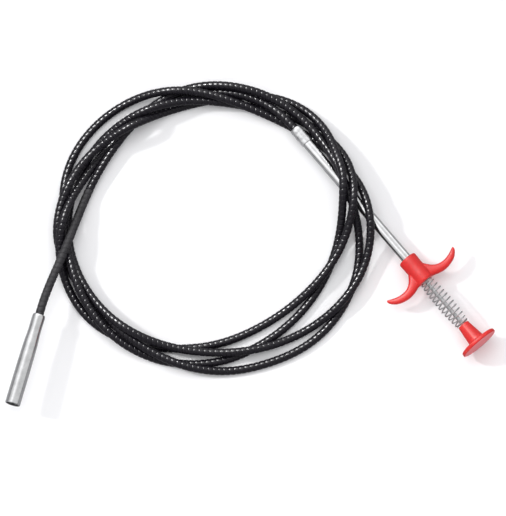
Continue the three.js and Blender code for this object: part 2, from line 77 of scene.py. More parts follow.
# Hose centre line from the handle to the tip: x, y, z from the layout origin
HOSE_PATH = np.array([
    [37.77, 91.07, 11.45], [36.17, 92.99, 11.4], [34.56, 94.91, 11.36], [33.28, 96.44, 11.32],
    [30.05, 99.75, 11.24], [23.26, 107.09, 11], [15.63, 113.47, 10.07], [7.1, 118.6, 9.11],
    [-2.15, 122.41, 9.28], [-11.81, 125.01, 9.63], [-21.65, 126.68, 8.83], [-31.43, 127.45, 6.82],
    [-41.2, 127.13, 4.66], [-50.98, 125.43, 3.4], [-60.49, 122.32, 3.15], [-69.58, 118.12, 3.15],
    [-78.2, 113.02, 3.15], [-86.34, 107.18, 3.15], [-94.02, 100.74, 3.15], [-101.27, 93.83, 3.15],
    [-108.13, 86.53, 3.16], [-114.64, 78.92, 3.44], [-120.71, 71.05, 4.64], [-126.31, 63.02, 6.76],
    [-131.48, 54.82, 9.3], [-135.83, 46.61, 13], [-139.42, 38.49, 17.65], [-142.93, 29.49, 20.08],
    [-145.52, 19.91, 19.15], [-146.82, 10.56, 15.83], [-146.79, 1.37, 11.86], [-145.46, -7.91, 8.34],
    [-142.89, -17.16, 5.51], [-139.16, -26.28, 3.73], [-134.35, -35.03, 3.17], [-128.44, -43.12, 3.15],
    [-121.42, -50.25, 3.15], [-113.4, -56.24, 3.14], [-104.61, -61.05, 3.13], [-95.31, -64.77, 3.14],
    [-85.68, -67.49, 3.15], [-75.83, -69.32, 3.15], [-65.86, -70.35, 3.15], [-55.85, -70.64, 3.15],
    [-45.84, -70.21, 3.15], [-35.9, -69, 3.15], [-26.1, -66.91, 3.15], [-16.53, -63.96, 3.15],
    [-7.22, -60.25, 3.15], [1.8, -55.9, 3.15], [10.55, -51.01, 3.15], [18.99, -45.62, 3.2],
    [27.12, -39.8, 3.78], [34.88, -33.67, 5.36], [42.21, -27.17, 7.49], [49.06, -20.04, 9.01],
    [55.33, -12.25, 9.62], [60.91, -3.93, 9.74], [65.77, 4.78, 10.56], [69.78, 13.6, 13.05],
    [72.82, 22.23, 17.1], [74.94, 30.79, 21.85], [76.17, 40.1, 25.22], [76.31, 50.02, 24.64],
    [75.29, 59.23, 20.9], [73.13, 67.77, 16.15], [69.63, 75.88, 11.44], [64.67, 83.59, 7.43],
    [58.31, 90.78, 4.63], [50.73, 97.18, 3.3], [42.31, 102.59, 3.11], [33.32, 107.01, 3.14],
    [23.91, 110.44, 3.14], [14.25, 113.1, 3.14], [4.46, 115.2, 3.31], [-5.36, 116.89, 4.35],
    [-15.1, 118.2, 6.29], [-24.86, 119.13, 8.37], [-34.76, 119.75, 9.74], [-44.68, 119.73, 11.11],
    [-54.42, 118.73, 13.21], [-63.86, 116.71, 15.88], [-73.18, 113.88, 18.19], [-82.55, 110.52, 18.12],
    [-91.33, 106.62, 15.3], [-99.57, 101.91, 12.13], [-107.2, 96.69, 8.27], [-114.31, 90.4, 5.13],
    [-120.76, 82.92, 3.51], [-126.34, 74.62, 3.15], [-131.06, 65.78, 3.14], [-134.87, 56.52, 3.15],
    [-137.76, 46.93, 3.14], [-139.67, 37.1, 3.13], [-140.56, 27.12, 3.1], [-140.34, 17.11, 3.18],
    [-139.07, 7.24, 4.23], [-136.81, -2.32, 6.19], [-133.59, -11.61, 8.1], [-129.36, -20.62, 9.07],
    [-124.19, -29.18, 9.7], [-118.31, -37.19, 10.99], [-111.89, -44.54, 13.2], [-104.86, -51.2, 15.78],
    [-96.96, -57.12, 17.35], [-88.3, -61.93, 16.17], [-79.34, -65.62, 13.62], [-70.06, -68.61, 11.34],
    [-60.44, -71.06, 9.98], [-50.63, -72.9, 9.22], [-40.7, -74, 8.39], [-30.71, -74.57, 8.01],
    [-20.71, -74.67, 8.54], [-10.74, -74.19, 9.44], [-0.83, -72.82, 9.5], [8.83, -70.5, 8.25],
    [18.05, -67.33, 5.97], [27.08, -63.5, 3.97], [36.03, -59.08, 3.19], [44.7, -54.11, 3.84],
    [52.87, -48.65, 5.76], [60.49, -42.57, 8.03], [67.5, -35.54, 9.32], [73.72, -27.7, 9.67],
    [79.01, -19.2, 9.39], [83.33, -10.17, 9.35], [86.56, -0.8, 10.7], [88.53, 8.56, 13.63],
    [89.23, 17.82, 17.36], [88.68, 27.37, 20.28], [86.95, 37.18, 20.15], [84.16, 46.33, 17.25],
    [80.42, 54.63, 13.07], [75.79, 62.48, 8.92], [70.13, 70.03, 5.59], [63.38, 77.16, 3.68],
    [55.8, 83.68, 3.16], [47.72, 89.61, 3.15], [39.31, 95.05, 3.16], [30.62, 100, 3.6],
    [21.74, 104.36, 5.14], [12.75, 108.26, 7.26], [3.62, 112, 9], [-5.6, 115.46, 10.82],
    [-14.88, 118.63, 12.9], [-24.31, 121.59, 14.49], [-33.96, 124.23, 15.03], [-43.8, 126.09, 15.29],
    [-53.78, 126.91, 15.54], [-63.77, 126.69, 15], [-73.37, 125.72, 12.4], [-82.52, 123.93, 8.74],
    [-91.54, 120.98, 5.55], [-100.38, 116.68, 3.69], [-108.73, 111.19, 3.17], [-116.43, 104.79, 3.15],
    [-123.43, 97.62, 3.15], [-129.63, 89.75, 3.15], [-134.91, 81.25, 3.15], [-139.14, 72.17, 3.16],
    [-142.15, 62.63, 3.49], [-143.84, 52.84, 4.72], [-144.4, 43.02, 6.6], [-144.14, 33.15, 8.29],
    [-143.23, 23.21, 9.12], [-141.97, 13.31, 9.88], [-140.48, 3.49, 11.22], [-138.53, -6.19, 12.91],
    [-135.92, -15.81, 13.88], [-132.5, -25.21, 13.46], [-128.19, -34.18, 12.33], [-122.99, -42.69, 11.5],
    [-116.97, -50.69, 11.2], [-110.2, -58.05, 10.62], [-102.68, -64.51, 9.26], [-94.41, -69.93, 7.69],
    [-85.67, -74.3, 5.49], [-76.44, -77.8, 3.84], [-66.8, -80.42, 3.2], [-56.91, -82.05, 3.15],
    [-46.92, -82.64, 3.14], [-36.91, -82.23, 3.14], [-26.99, -80.84, 3.15], [-17.29, -78.36, 3.15],
    [-7.94, -74.77, 3.15], [1.04, -70.33, 3.14], [9.68, -65.26, 3.14], [17.93, -59.57, 3.15],
    [25.7, -53.25, 3.15], [32.93, -46.32, 3.15], [39.58, -38.83, 3.15], [45.62, -30.83, 3.15],
    [51, -22.38, 3.15], [55.68, -13.53, 3.15], [59.62, -4.32, 3.16], [62.79, 5.16, 3.79],
    [65.15, 14.57, 6.2], [66.73, 23.44, 10.55], [67.69, 31.72, 16.1], [68.17, 39.94, 21.8],
    [68.38, 49.07, 25.82], [68.12, 59.02, 26.38], [65.87, 68.6, 24.71], [62.8, 77.61, 21.61],
    [59.94, 86.12, 17.17], [56.25, 94.17, 12.49], [51.32, 101.85, 8.39], [44.98, 108.94, 5.28],
    [37.22, 115, 3.57], [28.37, 119.65, 3.16], [18.89, 122.87, 3.15], [9.05, 124.71, 3.15],
    [-0.95, 125.3, 3.15], [-10.95, 124.86, 3.14], [-20.9, 123.67, 3.15], [-30.78, 121.97, 3.15],
    [-40.59, 119.95, 3.15], [-50.32, 117.56, 3.21], [-59.84, 114.63, 4.17], [-68.7, 111.07, 7.11],
    [-76.53, 107.1, 11.91], [-83.68, 102.94, 17.56], [-91.97, 98.59, 20.84], [-100.77, 94.07, 19.66],
    [-109, 89.27, 16.58], [-116.83, 83.66, 13.85], [-124.14, 76.93, 12.73], [-130.53, 69.27, 13.43],
    [-135.94, 61, 15.08], [-140.59, 52.21, 16.23], [-144.46, 43.1, 14.97], [-147.05, 33.48, 14.23],
    [-148.58, 23.6, 13.84], [-148.7, 14.42, 10.08], [-146.88, 5.9, 5.23], [-143.18, -3.16, 3.3],
    [-138.32, -11.92, 3.13], [-132.88, -20.33, 3.14], [-127.04, -28.47, 3.16], [-120.87, -36.36, 3.53],
    [-114.49, -43.92, 5.04], [-107.95, -51, 7.79], [-101.1, -57.59, 10.93], [-93.35, -63.84, 11.56],
    [-85.09, -69.43, 10.65], [-76.47, -74.48, 9.84], [-67.54, -79, 9.66], [-58.28, -82.82, 9.62],
    [-48.71, -85.7, 8.9], [-38.99, -87.46, 7.28], [-29.22, -88.16, 5.18], [-19.33, -87.97, 3.68],
    [-9.38, -86.88, 3.18], [0.44, -84.93, 3.15], [10.09, -82.24, 3.15], [19.55, -78.94, 3.15],
    [28.74, -74.96, 3.15], [37.53, -70.16, 3.15], [45.76, -64.45, 3.15], [53.26, -57.81, 3.15],
    [59.97, -50.37, 3.15], [65.85, -42.27, 3.15], [70.88, -33.61, 3.15], [74.98, -24.47, 3.15],
    [78.07, -14.94, 3.15], [80.03, -5.12, 3.19], [80.86, 4.82, 3.95], [80.59, 14.5, 6.45],
    [79.36, 23.55, 10.53], [77.26, 32.15, 15.22], [74.45, 41, 18.93], [71.25, 50.39, 20.18],
    [67.6, 59.71, 19.75], [63.56, 68.72, 18.1], [59.15, 77.26, 15.32], [54.15, 85.44, 12.4],
    [48.44, 93.43, 10.46], [41.96, 101.03, 9.76], [34.78, 108.02, 9.68], [26.96, 114.25, 10.05],
    [18.49, 119.47, 11.18], [9.49, 123.67, 12.5], [0.09, 126.94, 13.58], [-9.62, 129.29, 14.29],
    [-19.5, 130.87, 13.95], [-29.36, 131.64, 12.37], [-39.17, 131.34, 10.38], [-48.95, 129.65, 9.11],
    [-58.42, 126.44, 8.93], [-67.32, 121.86, 9.27], [-75.59, 116.21, 9.56], [-83.24, 109.75, 9.69],
    [-90.34, 102.69, 9.62], [-96.96, 95.18, 9.35], [-103.17, 87.33, 8.88], [-108.97, 79.17, 8.31],
    [-114.31, 70.71, 7.93], [-119.23, 62, 7.35], [-123.73, 53.1, 6.39], [-127.74, 43.93, 6.38],
    [-131.3, 34.72, 8.01], [-134.51, 25.7, 10.95], [-137.57, 16.81, 14.43], [-140.8, 7.77, 17.25],
    [-144.46, -1.48, 18.33], [-148.35, -10.71, 18.64], [-152.2, -19.94, 19.33], [-155.79, -29.2, 20.58],
    [-159.01, -38.6, 21.88], [-161.73, -48.23, 22.3], [-163.38, -54, 22.53], [-165.04, -59.76, 22.75],
]) + LAYOUT_ORIGIN


# ------------------------------------------------------------------ curves
def unit(vector):
    return vector / np.linalg.norm(vector)


def catmull(points, per_span=24):
    """Centripetal Catmull-Rom curve through the points."""
    curve = []
    last = len(points) - 1
    for i in range(last):
        p1, p2 = points[i], points[i + 1]
        p0 = points[i - 1] if i else 2 * points[0] - points[1]
        p3 = points[i + 2] if i + 1 < last else 2 * points[-1] - points[-2]
        d0, d1, d2 = [
            max(float(np.sum((start - end) ** 2)) ** 0.25, 1e-4)
            for start, end in ((p0, p1), (p1, p2), (p2, p3))
        ]
        m1 = ((p1 - p0) / d0 - (p2 - p0) / (d0 + d1) + (p2 - p1) / d1) * d1
        m2 = ((p2 - p1) / d1 - (p3 - p1) / (d1 + d2) + (p3 - p2) / d2) * d1
        t = (np.arange(per_span) / per_span)[:, None]
        square = (-3 * p1 + 3 * p2 - 2 * m1 - m2) * t**2
        cube = (2 * p1 - 2 * p2 + m1 + m2) * t**3
        curve.append(p1 + m1 * t + square + cube)
    curve.append(points[-1:])
    return np.vstack(curve)


def arc_lengths(points):
    return np.r_[0, np.cumsum(np.linalg.norm(np.diff(points, axis=0), axis=1))]


def resample(points, count):
    """The same polyline with evenly spaced points."""
    arc = arc_lengths(points)
    stations = np.linspace(0, arc[-1], count)
    return np.stack([np.interp(stations, arc, points[:, k]) for k in range(3)], 1)


def smoothed(points, width):
    """Gaussian smoothing; the ends are mirrored so that they stay in place."""
    kernel = np.exp(-0.5 * (np.arange(-3 * width, 3 * width + 1) / width) ** 2)
    kernel /= kernel.sum()
    pad = len(kernel) // 2
    before = 2 * points[0] - points[pad:0:-1]
    after = 2 * points[-1] - points[-2 : -pad - 2 : -1]
    padded = np.vstack([before, points, after])
    return np.stack([np.convolve(padded[:, k], kernel, "valid") for k in range(3)], 1)


class Line:
    """A space curve read by distance along it, with a frame that doesn't twist."""

    def __init__(self, points, step, smooth=0):
        self.length = float(arc_lengths(points)[-1])
        self.count = int(self.length / step) + 1
        path = resample(points, self.count)
        if smooth:
            path = smoothed(path, smooth)
        tangents = np.gradient(path, axis=0)
        tangents /= np.linalg.norm(tangents, axis=1)[:, None]
        across = np.zeros_like(path)
        across[0] = unit(np.cross(tangents[0], [0.0, 0.0, 1.0]))
        for i in range(1, self.count):
            previous = across[i - 1]
            across[i] = unit(previous - tangents[i] * float(previous @ tangents[i]))
        self.tracks = (path, tangents, across, np.cross(tangents, across))

    def at(self, distance):
        """Point, tangent and the two cross axes at each distance."""
        last = self.count - 1
        place_in = np.clip(np.asarray(distance, float) / self.length * last, 0, last - 1e-6)
        low = place_in.astype(int)
        high = np.minimum(low + 1, last)
        share = (place_in - low)[..., None]
        return [track[low] * (1 - share) + track[high] * share for track in self.tracks]


def axes_of(direction):
    z = unit(direction)
    x = unit(np.array([-z[1], z[0], 0.0]))
    return x, np.cross(z, x), z


def place(points, mount):
    """Local points (x across, y up, z along) to the frame, for a mount of (start, direction)."""
    at, direction = mount
    x, y, z = axes_of(direction)
    local = np.asarray(points, float)
    return at + local[:, :1] * x + local[:, 1:2] * y + local[:, 2:3] * z


# ------------------------------------------------------------------ meshes
def add_mesh(name, verts, faces, material, smooth=True, sharp=None):
    """Mesh object from millimetre points; sharp is the edge angle, in degrees."""
    mesh = bpy.data.meshes.new(name)
    mesh.from_pydata((np.asarray(verts) * MM).tolist(), [], [list(map(int, f)) for f in faces])
    mesh.validate()
    bm = bmesh.new()
    bm.from_mesh(mesh)
    bmesh.ops.recalc_face_normals(bm, faces=bm.faces)
    bm.to_mesh(mesh)
    bm.free()
    for polygon in mesh.polygons:
        polygon.use_smooth = smooth
    if sharp:
        mesh.set_sharp_from_angle(angle=math.radians(sharp))
    mesh.materials.append(material)
    ob = bpy.data.objects.new(name, mesh)
    bpy.context.scene.collection.objects.link(ob)
    return ob


def fit(ob, joint, piece):
    """Tells the frame what the object moves with and the piece it replaces."""
    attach(ob, joint)
    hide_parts(piece)


def band_faces(rings, sides, wrap=False):
    """Quads between neighbouring rings of points; wrap joins the last ring to the first."""
    faces = []
    for ring in range(rings if wrap else rings - 1):
        here, there = ring * sides, (ring + 1) % rings * sides
        for i in range(sides):
            after = (i + 1) % sides
            faces.append([here + i, here + after, there + after, there + i])
    return faces


def add_cap(verts, faces, loop, centre):
    """Closes a loop of vertices with a fan to a centre point."""
    centre_index = len(verts)
    verts.append(centre)
    for start, end in zip(loop, loop[1:] + loop[:1]):
        faces.append([start, end, centre_index])


def ring_loop(ring, sides):
    return list(range(ring * sides, (ring + 1) * sides))


def rounded(profile, radius, steps):
    """A (radius, z) loop or axis-to-axis profile with its corners rounded."""
    points = [np.array(point, float) for point in profile]
    last = len(points) - 1
    is_open = points[0][0] == 0 and points[-1][0] == 0
    result = []
    for i, point in enumerate(points):
        if is_open and i in (0, last):
            result.append(point)
            continue
        back = points[i - 1] - point
        ahead = points[(i + 1) % len(points)] - point
        back_length, ahead_length = np.linalg.norm(back), np.linalg.norm(ahead)
        cut = min(radius, 0.45 * back_length, 0.45 * ahead_length)
        cosine = float(back @ ahead / (back_length * ahead_length))
        # tiny cuts and nearly straight runs stay as they are
        if cut < 0.02 or cosine < -0.985:
            result.append(point)
            continue
        start = point + back / back_length * cut
        end = point + ahead / ahead_length * cut
        for k in range(steps + 1):
            t = k / steps
            result.append((1 - t) ** 2 * start + 2 * t * (1 - t) * point + t**2 * end)
    return result


def revolve(profile, sides, wobble=None):
    """Points and faces of a turned body. A profile off the axis closes on itself."""
    on_axis = profile[0][0] == 0 and profile[-1][0] == 0
    rings = [point for point in profile if point[0] > 0]
    angles = 2 * math.pi * np.arange(sides) / sides
    verts = []
    for radius, z in rings:
        radii = np.full(sides, float(radius))
        if wobble:
            radii += wobble(radius, z, angles)
        verts += [[r * math.cos(a), r * math.sin(a), z] for r, a in zip(radii, angles)]
    faces = band_faces(len(rings), sides, wrap=not on_axis)
    if on_axis:
        for ring, end in ((0, profile[0]), (len(rings) - 1, profile[-1])):
            add_cap(verts, faces, ring_loop(ring, sides), [0, 0, end[1]])
    return verts, faces


def turned(name, profile, mount, material, sides, wobble=None, sharp=None):
    verts, faces = revolve(profile, sides, wobble)
    return add_mesh(name, place(verts, mount), faces, material, sharp=sharp)


def swept(name, line, radii, sides, step, material):
    """Round bar along a line with closed ends; radii lists (distance, radius)."""
    spans = int(line.length / step)
    distances = np.linspace(0, line.length, spans + 1)
    centres, tangents, across, up = line.at(distances)
    radius = np.interp(distances, *zip(*radii))
    angles = np.arange(sides) / sides * 2 * math.pi
    around = (
        np.cos(angles)[None, :, None] * across[:, None]
        + np.sin(angles)[None, :, None] * up[:, None]
    )
    verts = list((centres[:, None] + radius[:, None, None] * around).reshape(-1, 3))
    faces = band_faces(spans + 1, sides)
    start = centres[0] - tangents[0] * radius[0] * 0.5
    end = centres[-1] + tangents[-1] * radius[-1] * 0.5
    add_cap(verts, faces, ring_loop(0, sides), start)
    add_cap(verts, faces, ring_loop(spans, sides), end)
    return add_mesh(name, verts, faces, material)


def apply_modifier(ob, kind, **settings):
    modifier = ob.modifiers.new(kind.lower(), kind)
    for key, value in settings.items():
        setattr(modifier, key, value)
    depsgraph = bpy.context.evaluated_depsgraph_get()
    depsgraph.update()
    mesh = bpy.data.meshes.new_from_object(ob.evaluated_get(depsgraph), depsgraph=depsgraph)
    ob.modifiers.clear()
    ob.data = mesh


def cut_away(ob, cutter):
    apply_modifier(ob, "BOOLEAN", operation="DIFFERENCE", solver="EXACT", object=cutter)
    bpy.data.objects.remove(cutter)


# ------------------------------------------------------------------ shader helpers
def add_node(tree, kind, **settings):
    node = tree.nodes.new(kind)
    for key, value in settings.items():
        setattr(node, key, value)
    return node


def feed(tree, node, inputs):
    """Links sockets and sets values on a node's inputs."""
    for key, value in inputs.items():
        if isinstance(value, bpy.types.NodeSocket):
            tree.links.new(value, node.inputs[key])
        else:
            node.inputs[key].default_value = value


def new_material(name):
    material = bpy.data.materials.new(name)
    material.use_nodes = True
    tree = material.node_tree
    tree.nodes.clear()
    output = add_node(tree, "ShaderNodeOutputMaterial")
    bsdf = add_node(tree, "ShaderNodeBsdfPrincipled")
    tree.links.new(bsdf.outputs[0], output.inputs[0])
    return material, tree, bsdf


def colour_ramp(tree, source, stops):
    """Colour ramp; stops are (position, (red, green, blue))."""
    node = add_node(tree, "ShaderNodeValToRGB")
    elements = node.color_ramp.elements
    while len(elements) < len(stops):
        elements.new(0.5)
    for element, (position, colour) in zip(elements, stops):
        element.position = position
        element.color = (*colour, 1)
    tree.links.new(source, node.inputs[0])
    return node.outputs[0]


def grey_ramp(tree, source, stops):
    return colour_ramp(tree, source, [(position, (grey,) * 3) for position, grey in stops])


def remap(tree, source, to=(0.0, 1.0), over=(0.0, 1.0)):
    """Maps the range `over` of the source onto the range `to`."""
    node = add_node(tree, "ShaderNodeMapRange")
    feed(tree, node, {
        "From Min": over[0], "From Max": over[1], "To Min": to[0], "To Max": to[1], "Value": source,
    })
    return node.outputs[0]


def mix(tree, factor, a, b, blend="MIX"):
    node = add_node(tree, "ShaderNodeMix", data_type="RGBA", blend_type=blend)
    feed(tree, node, {"Factor": factor, "A": a, "B": b})
    return node.outputs["Result"]


def multiply(tree, a, b, factor=1.0):
    return mix(tree, factor, a, b, blend="MULTIPLY")


def calculate(tree, operation, a, b):
    node = add_node(tree, "ShaderNodeMath", operation=operation)
    feed(tree, node, {0: a, 1: b})
    return node.outputs[0]


def dot_with(tree, source, direction):
    node = add_node(tree, "ShaderNodeVectorMath", operation="DOT_PRODUCT")
    feed(tree, node, {1: tuple(direction), 0: source})
    return node.outputs["Value"]


def coordinates(tree, stretch=(1, 1, 1), along=None):
    """Object coordinates in metres, turned so that Z runs along a direction, then stretched."""
    source = add_node(tree, "ShaderNodeTexCoord").outputs["Object"]
    if along is not None:
        combine = add_node(tree, "ShaderNodeCombineXYZ")
        for k, axis in enumerate(axes_of(along)):
            tree.links.new(dot_with(tree, source, axis), combine.inputs[k])
        source = combine.outputs[0]
    mapping = add_node(tree, "ShaderNodeMapping")
    feed(tree, mapping, {"Scale": stretch, "Vector": source})
    return mapping.outputs[0]


def noise(tree, vector, scale, detail=4.0, roughness=0.55):
    node = add_node(tree, "ShaderNodeTexNoise")
    feed(tree, node, {"Scale": scale, "Detail": detail, "Roughness": roughness, "Vector": vector})
    return node.outputs["Fac"]


def bump(tree, height, strength, distance, under=None):
    """Bump normal, distance in metres, laid over an earlier one if given."""
    node = add_node(tree, "ShaderNodeBump")
    feed(tree, node, {"Strength": strength, "Distance": distance, "Height": height})
    if under is not None:
        tree.links.new(under, node.inputs["Normal"])
    return node.outputs[0]


# ------------------------------------------------------------------ materials
STEEL_TINT = (1.0, 1.005, 1.02)
DRAWING_LINES = (2600, 2600, 40)  # noise stretch: fine across the tube, long along it


def steel(name, along, brightness, roughness, mottle=0.10, line_strength=0.25):
    """Plated steel: drawing lines along the part and a soft mottle."""
    material, tree, bsdf = new_material(name)
    lines = noise(tree, coordinates(tree, DRAWING_LINES, along), scale=1.0, detail=3.0)
    clouds = noise(tree, coordinates(tree), scale=160.0, detail=5.0)
    dark, light = [
        tuple((brightness + change) * tint for tint in STEEL_TINT) for change in (-mottle, mottle)
    ]
    both = calculate(tree, "ADD", lines, clouds)
    feed(tree, bsdf, {
        "Metallic": 1.0,
        "Base Color": colour_ramp(tree, clouds, [(0.3, dark), (0.7, light)]),
        "Roughness": remap(tree, both, to=roughness, over=(0.7, 1.3)),
        "Normal": bump(tree, lines, strength=line_strength, distance=0.00003),
    })
    return material


def red_plastic(name):
    """Moulded red plastic: faint flow marks, lighter edges, painted shade where the surface turns from
    the view, and a painted pale reflection on faces towards the cap end seen at a low angle.
    """
    material, tree, bsdf = new_material(name)
    vector = coordinates(tree)
    flow = noise(tree, vector, scale=45.0)
    fine = noise(tree, vector, scale=1400.0, detail=3.0)
    geometry = add_node(tree, "ShaderNodeNewGeometry")
    colour = colour_ramp(tree, flow, [
        (0.25, (0.58, 0.010, 0.010)), (0.6, (0.68, 0.016, 0.014)), (0.85, (0.74, 0.028, 0.022)),
    ])
    edges = remap(tree, geometry.outputs["Pointiness"], over=(0.515, 0.60))
    colour = mix(tree, edges, colour, (0.80, 0.07, 0.05, 1))
    # painted shade: darker where the surface turns away from the view
    layer = add_node(tree, "ShaderNodeLayerWeight")
    layer.inputs["Blend"].default_value = 0.35
    away = layer.outputs["Facing"]
    painted_rim_shade = remap(tree, away, to=(0.0, 0.75), over=(0.25, 0.95))
    colour = multiply(tree, colour, (0.74, 0.62, 0.62, 1), factor=painted_rim_shade)
    # painted reflection: pale where it faces along the handle and is seen at a low angle
    facing = dot_with(tree, geometry.outputs["Normal"], unit(HANDLE_DIR))
    facing = remap(tree, facing, to=(0.0, 0.9), over=(0.80, 0.97))
    painted_reflection_mask = calculate(tree, "MULTIPLY", facing, remap(tree, away, over=(0.45, 0.70)))
    pale = colour_ramp(tree, flow, [(0.3, (0.84, 0.20, 0.22)), (0.7, (0.88, 0.28, 0.30))])
    broad_bump = bump(tree, flow, strength=0.10, distance=0.0006)
    feed(tree, bsdf, {
        "Base Color": mix(tree, painted_reflection_mask, colour, pale),
        "Roughness": remap(tree, fine, to=(0.48, 0.62), over=(0.3, 0.7)),
        "Subsurface Weight": 0.06,
        "Subsurface Radius": (0.003, 0.0006, 0.0004),
        "Subsurface Scale": 0.4,
        "Specular IOR Level": 0.34,
        "Coat Weight": 0.10,
        "Coat Roughness": 0.38,
        "Normal": bump(tree, fine, strength=0.10, distance=0.00004, under=broad_bump),
    })
    return material


def black_hose(name):
    """Black coated spring strip, satin: painted light on the crowns, painted shade in the grooves, small
    scuffs.
    """
    material, tree, bsdf = new_material(name)
    vector = coordinates(tree)
    spots = noise(tree, vector, scale=900.0, detail=3.0)
    broad = noise(tree, vector, scale=70.0)
    geometry = add_node(tree, "ShaderNodeNewGeometry")
    # painted shade in the grooves and painted light on the crowns, from the surface's pointiness
    crown = remap(tree, geometry.outputs["Pointiness"], over=(0.46, 0.54))
    base = colour_ramp(tree, spots, [
        (0.30, (0.0045, 0.004, 0.0055)), (0.62, (0.009, 0.008, 0.011)),
        (0.80, (0.022, 0.020, 0.026)),
    ])
    painted_crown_light_groove_shade = colour_ramp(tree, crown, [(0.0, (0.35, 0.35, 0.38)), (1.0, (1.25, 1.22, 1.3))])
    both = calculate(tree, "ADD", spots, broad)
    feed(tree, bsdf, {
        "Base Color": multiply(tree, base, painted_crown_light_groove_shade),
        "Roughness": remap(tree, both, to=(0.20, 0.36), over=(0.7, 1.3)),
        "Specular IOR Level": 0.30,
        "Normal": bump(tree, spots, strength=0.18, distance=0.00003),
    })
    return material


def matte_hose(name):
    """The tip end of the hose: the same strip, dull charcoal with fine grey specks, painted shade in the
    grooves and painted light on the crowns.
    """
    material, tree, bsdf = new_material(name)
    vector = coordinates(tree)
    specks = noise(tree, vector, scale=1500.0, detail=2.0, roughness=0.7)
    broad = noise(tree, vector, scale=120.0)
    base = colour_ramp(tree, specks, [
        (0.35, (0.016, 0.015, 0.017)), (0.60, (0.030, 0.029, 0.032)),
        (0.72, (0.070, 0.068, 0.072)),
    ])
    clouds = colour_ramp(tree, broad, [(0.3, (0.75, 0.75, 0.77)), (0.7, (1.15, 1.14, 1.14))])
    colour = multiply(tree, base, clouds)
    geometry = add_node(tree, "ShaderNodeNewGeometry")
    # painted shade in the grooves and painted light on the crowns, from the surface's pointiness
    crown = remap(tree, geometry.outputs["Pointiness"], over=(0.46, 0.53))
    feed(tree, bsdf, {
        "Base Color": multiply(tree, colour, grey_ramp(tree, crown, [(0.0, 0.25), (1.0, 1.2)])),
        "Roughness": remap(tree, specks, to=(0.55, 0.8), over=(0.3, 0.7)),
        "Specular IOR Level": 0.2,
        "Normal": bump(tree, specks, strength=0.35, distance=0.00006),
    })
    return material


def nylon(name):
    """Off-white nylon."""
    material, tree, bsdf = new_material(name)
    clouds = noise(tree, coordinates(tree), scale=300.0, detail=3.0)
    shades = [(0.3, (0.72, 0.70, 0.64)), (0.7, (0.82, 0.80, 0.75))]
    feed(tree, bsdf, {
        "Base Color": colour_ramp(tree, clouds, shades),
        "Roughness": remap(tree, clouds, to=(0.4, 0.6)),
        "Subsurface Weight": 0.1,
        "Subsurface Scale": 0.002,
        "Normal": bump(tree, clouds, strength=0.1, distance=0.00005),
    })
    return material


def cable(name, along):
    """Twisted steel cable: a diagonal strand pattern."""
    material, tree, bsdf = new_material(name)
    wave = add_node(tree, "ShaderNodeTexWave", wave_type="BANDS", bands_direction="DIAGONAL")
    vector = coordinates(tree, (1, 1, 1.6), along)
    feed(tree, wave, {"Scale": 260.0, "Distortion": 0.6, "Vector": vector})
    strands = wave.outputs["Fac"]
    shades = [(0.1, (0.25, 0.25, 0.26)), (0.6, (0.66, 0.67, 0.69))]
    feed(tree, bsdf, {
        "Metallic": 1.0,
        "Base Color": colour_ramp(tree, strands, shades),
        "Roughness": remap(tree, strands, to=(0.5, 0.3)),
        "Normal": bump(tree, strands, strength=0.6, distance=0.0002),
    })
    return material


HOSE_MAT = black_hose("black_wound_hose")
MATTE_MAT = matte_hose("matte_hose_end")
RED_MAT = red_plastic("red_moulded_plastic")
TUBE_MAT = steel("bright_handle_tube", HANDLE_DIR, brightness=0.84, roughness=(0.08, 0.18))
FERRULE_MAT = steel(
    "zinc_ferrule", HANDLE_DIR, brightness=0.82, roughness=(0.20, 0.38), mottle=0.16,
    line_strength=0.5)
TIP_MAT = steel(
    "bright_tip_tube", TIP_DIR, brightness=0.78, roughness=(0.16, 0.27), mottle=0.07)
WIRE_MAT = steel(
    "spring_wire_steel", HANDLE_DIR, brightness=0.64, roughness=(0.28, 0.42), mottle=0.12)
CLAW_MAT = steel(
    "claw_wire_steel", TIP_DIR, brightness=0.70, roughness=(0.14, 0.28), mottle=0.08)
# painted shade: the tip tube's bore is very dark steel so that the mouth looks dark inside
BORE_SHADE_MAT = steel(
    "painted_shade_tube_bore", TIP_DIR, brightness=0.16, roughness=(0.45, 0.65), mottle=0.05,
    line_strength=0.5)
ZINC_MAT = steel(
    "zinc_plated_steel", TIP_DIR, brightness=0.62, roughness=(0.28, 0.46), line_strength=0.3)
NYLON_MAT = nylon("natural_nylon")
CABLE_MAT = cable("twisted_cable", HANDLE_DIR)
TIP_CABLE_MAT = cable("twisted_tip_cable", TIP_DIR)


def set_material(ob, material):
    ob.data.materials.clear()
    ob.data.materials.append(material)


# CAD pieces that keep their own shape
for piece, piece_material in (
    ("inner_cable", CABLE_MAT),
    ("plunger_cable", CABLE_MAT),
    ("claw_cable", TIP_CABLE_MAT),
    ("rod_crimp", ZINC_MAT),
    ("tube_end_bush", NYLON_MAT),
):
    set_material(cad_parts[piece], piece_material)

# ------------------------------------------------------------------ wound hose
HOSE_R = 3.15
MATTE_GROWTH = 0.12  # extra radius of the matte end
PITCH = 4.1
HOSE_SIDES = 18
# One turn of the strip: share of the pitch, radius
STRIP = [
    (0.00, HOSE_R - 0.34), (0.06, HOSE_R - 0.20), (0.13, HOSE_R - 0.075), (0.27, HOSE_R - 0.015),
    (0.50, HOSE_R), (0.73, HOSE_R - 0.015), (0.87, HOSE_R - 0.075), (0.94, HOSE_R - 0.20),
]

hose = Line(catmull(HOSE_PATH), step=0.5, smooth=5)
TIP_REAR = hose.length - 12.0  # the last 12 mm lie inside the tip tube
SWING_AT = TIP_REAR - 31.0
LIFT_AT = TIP_REAR - 17.0

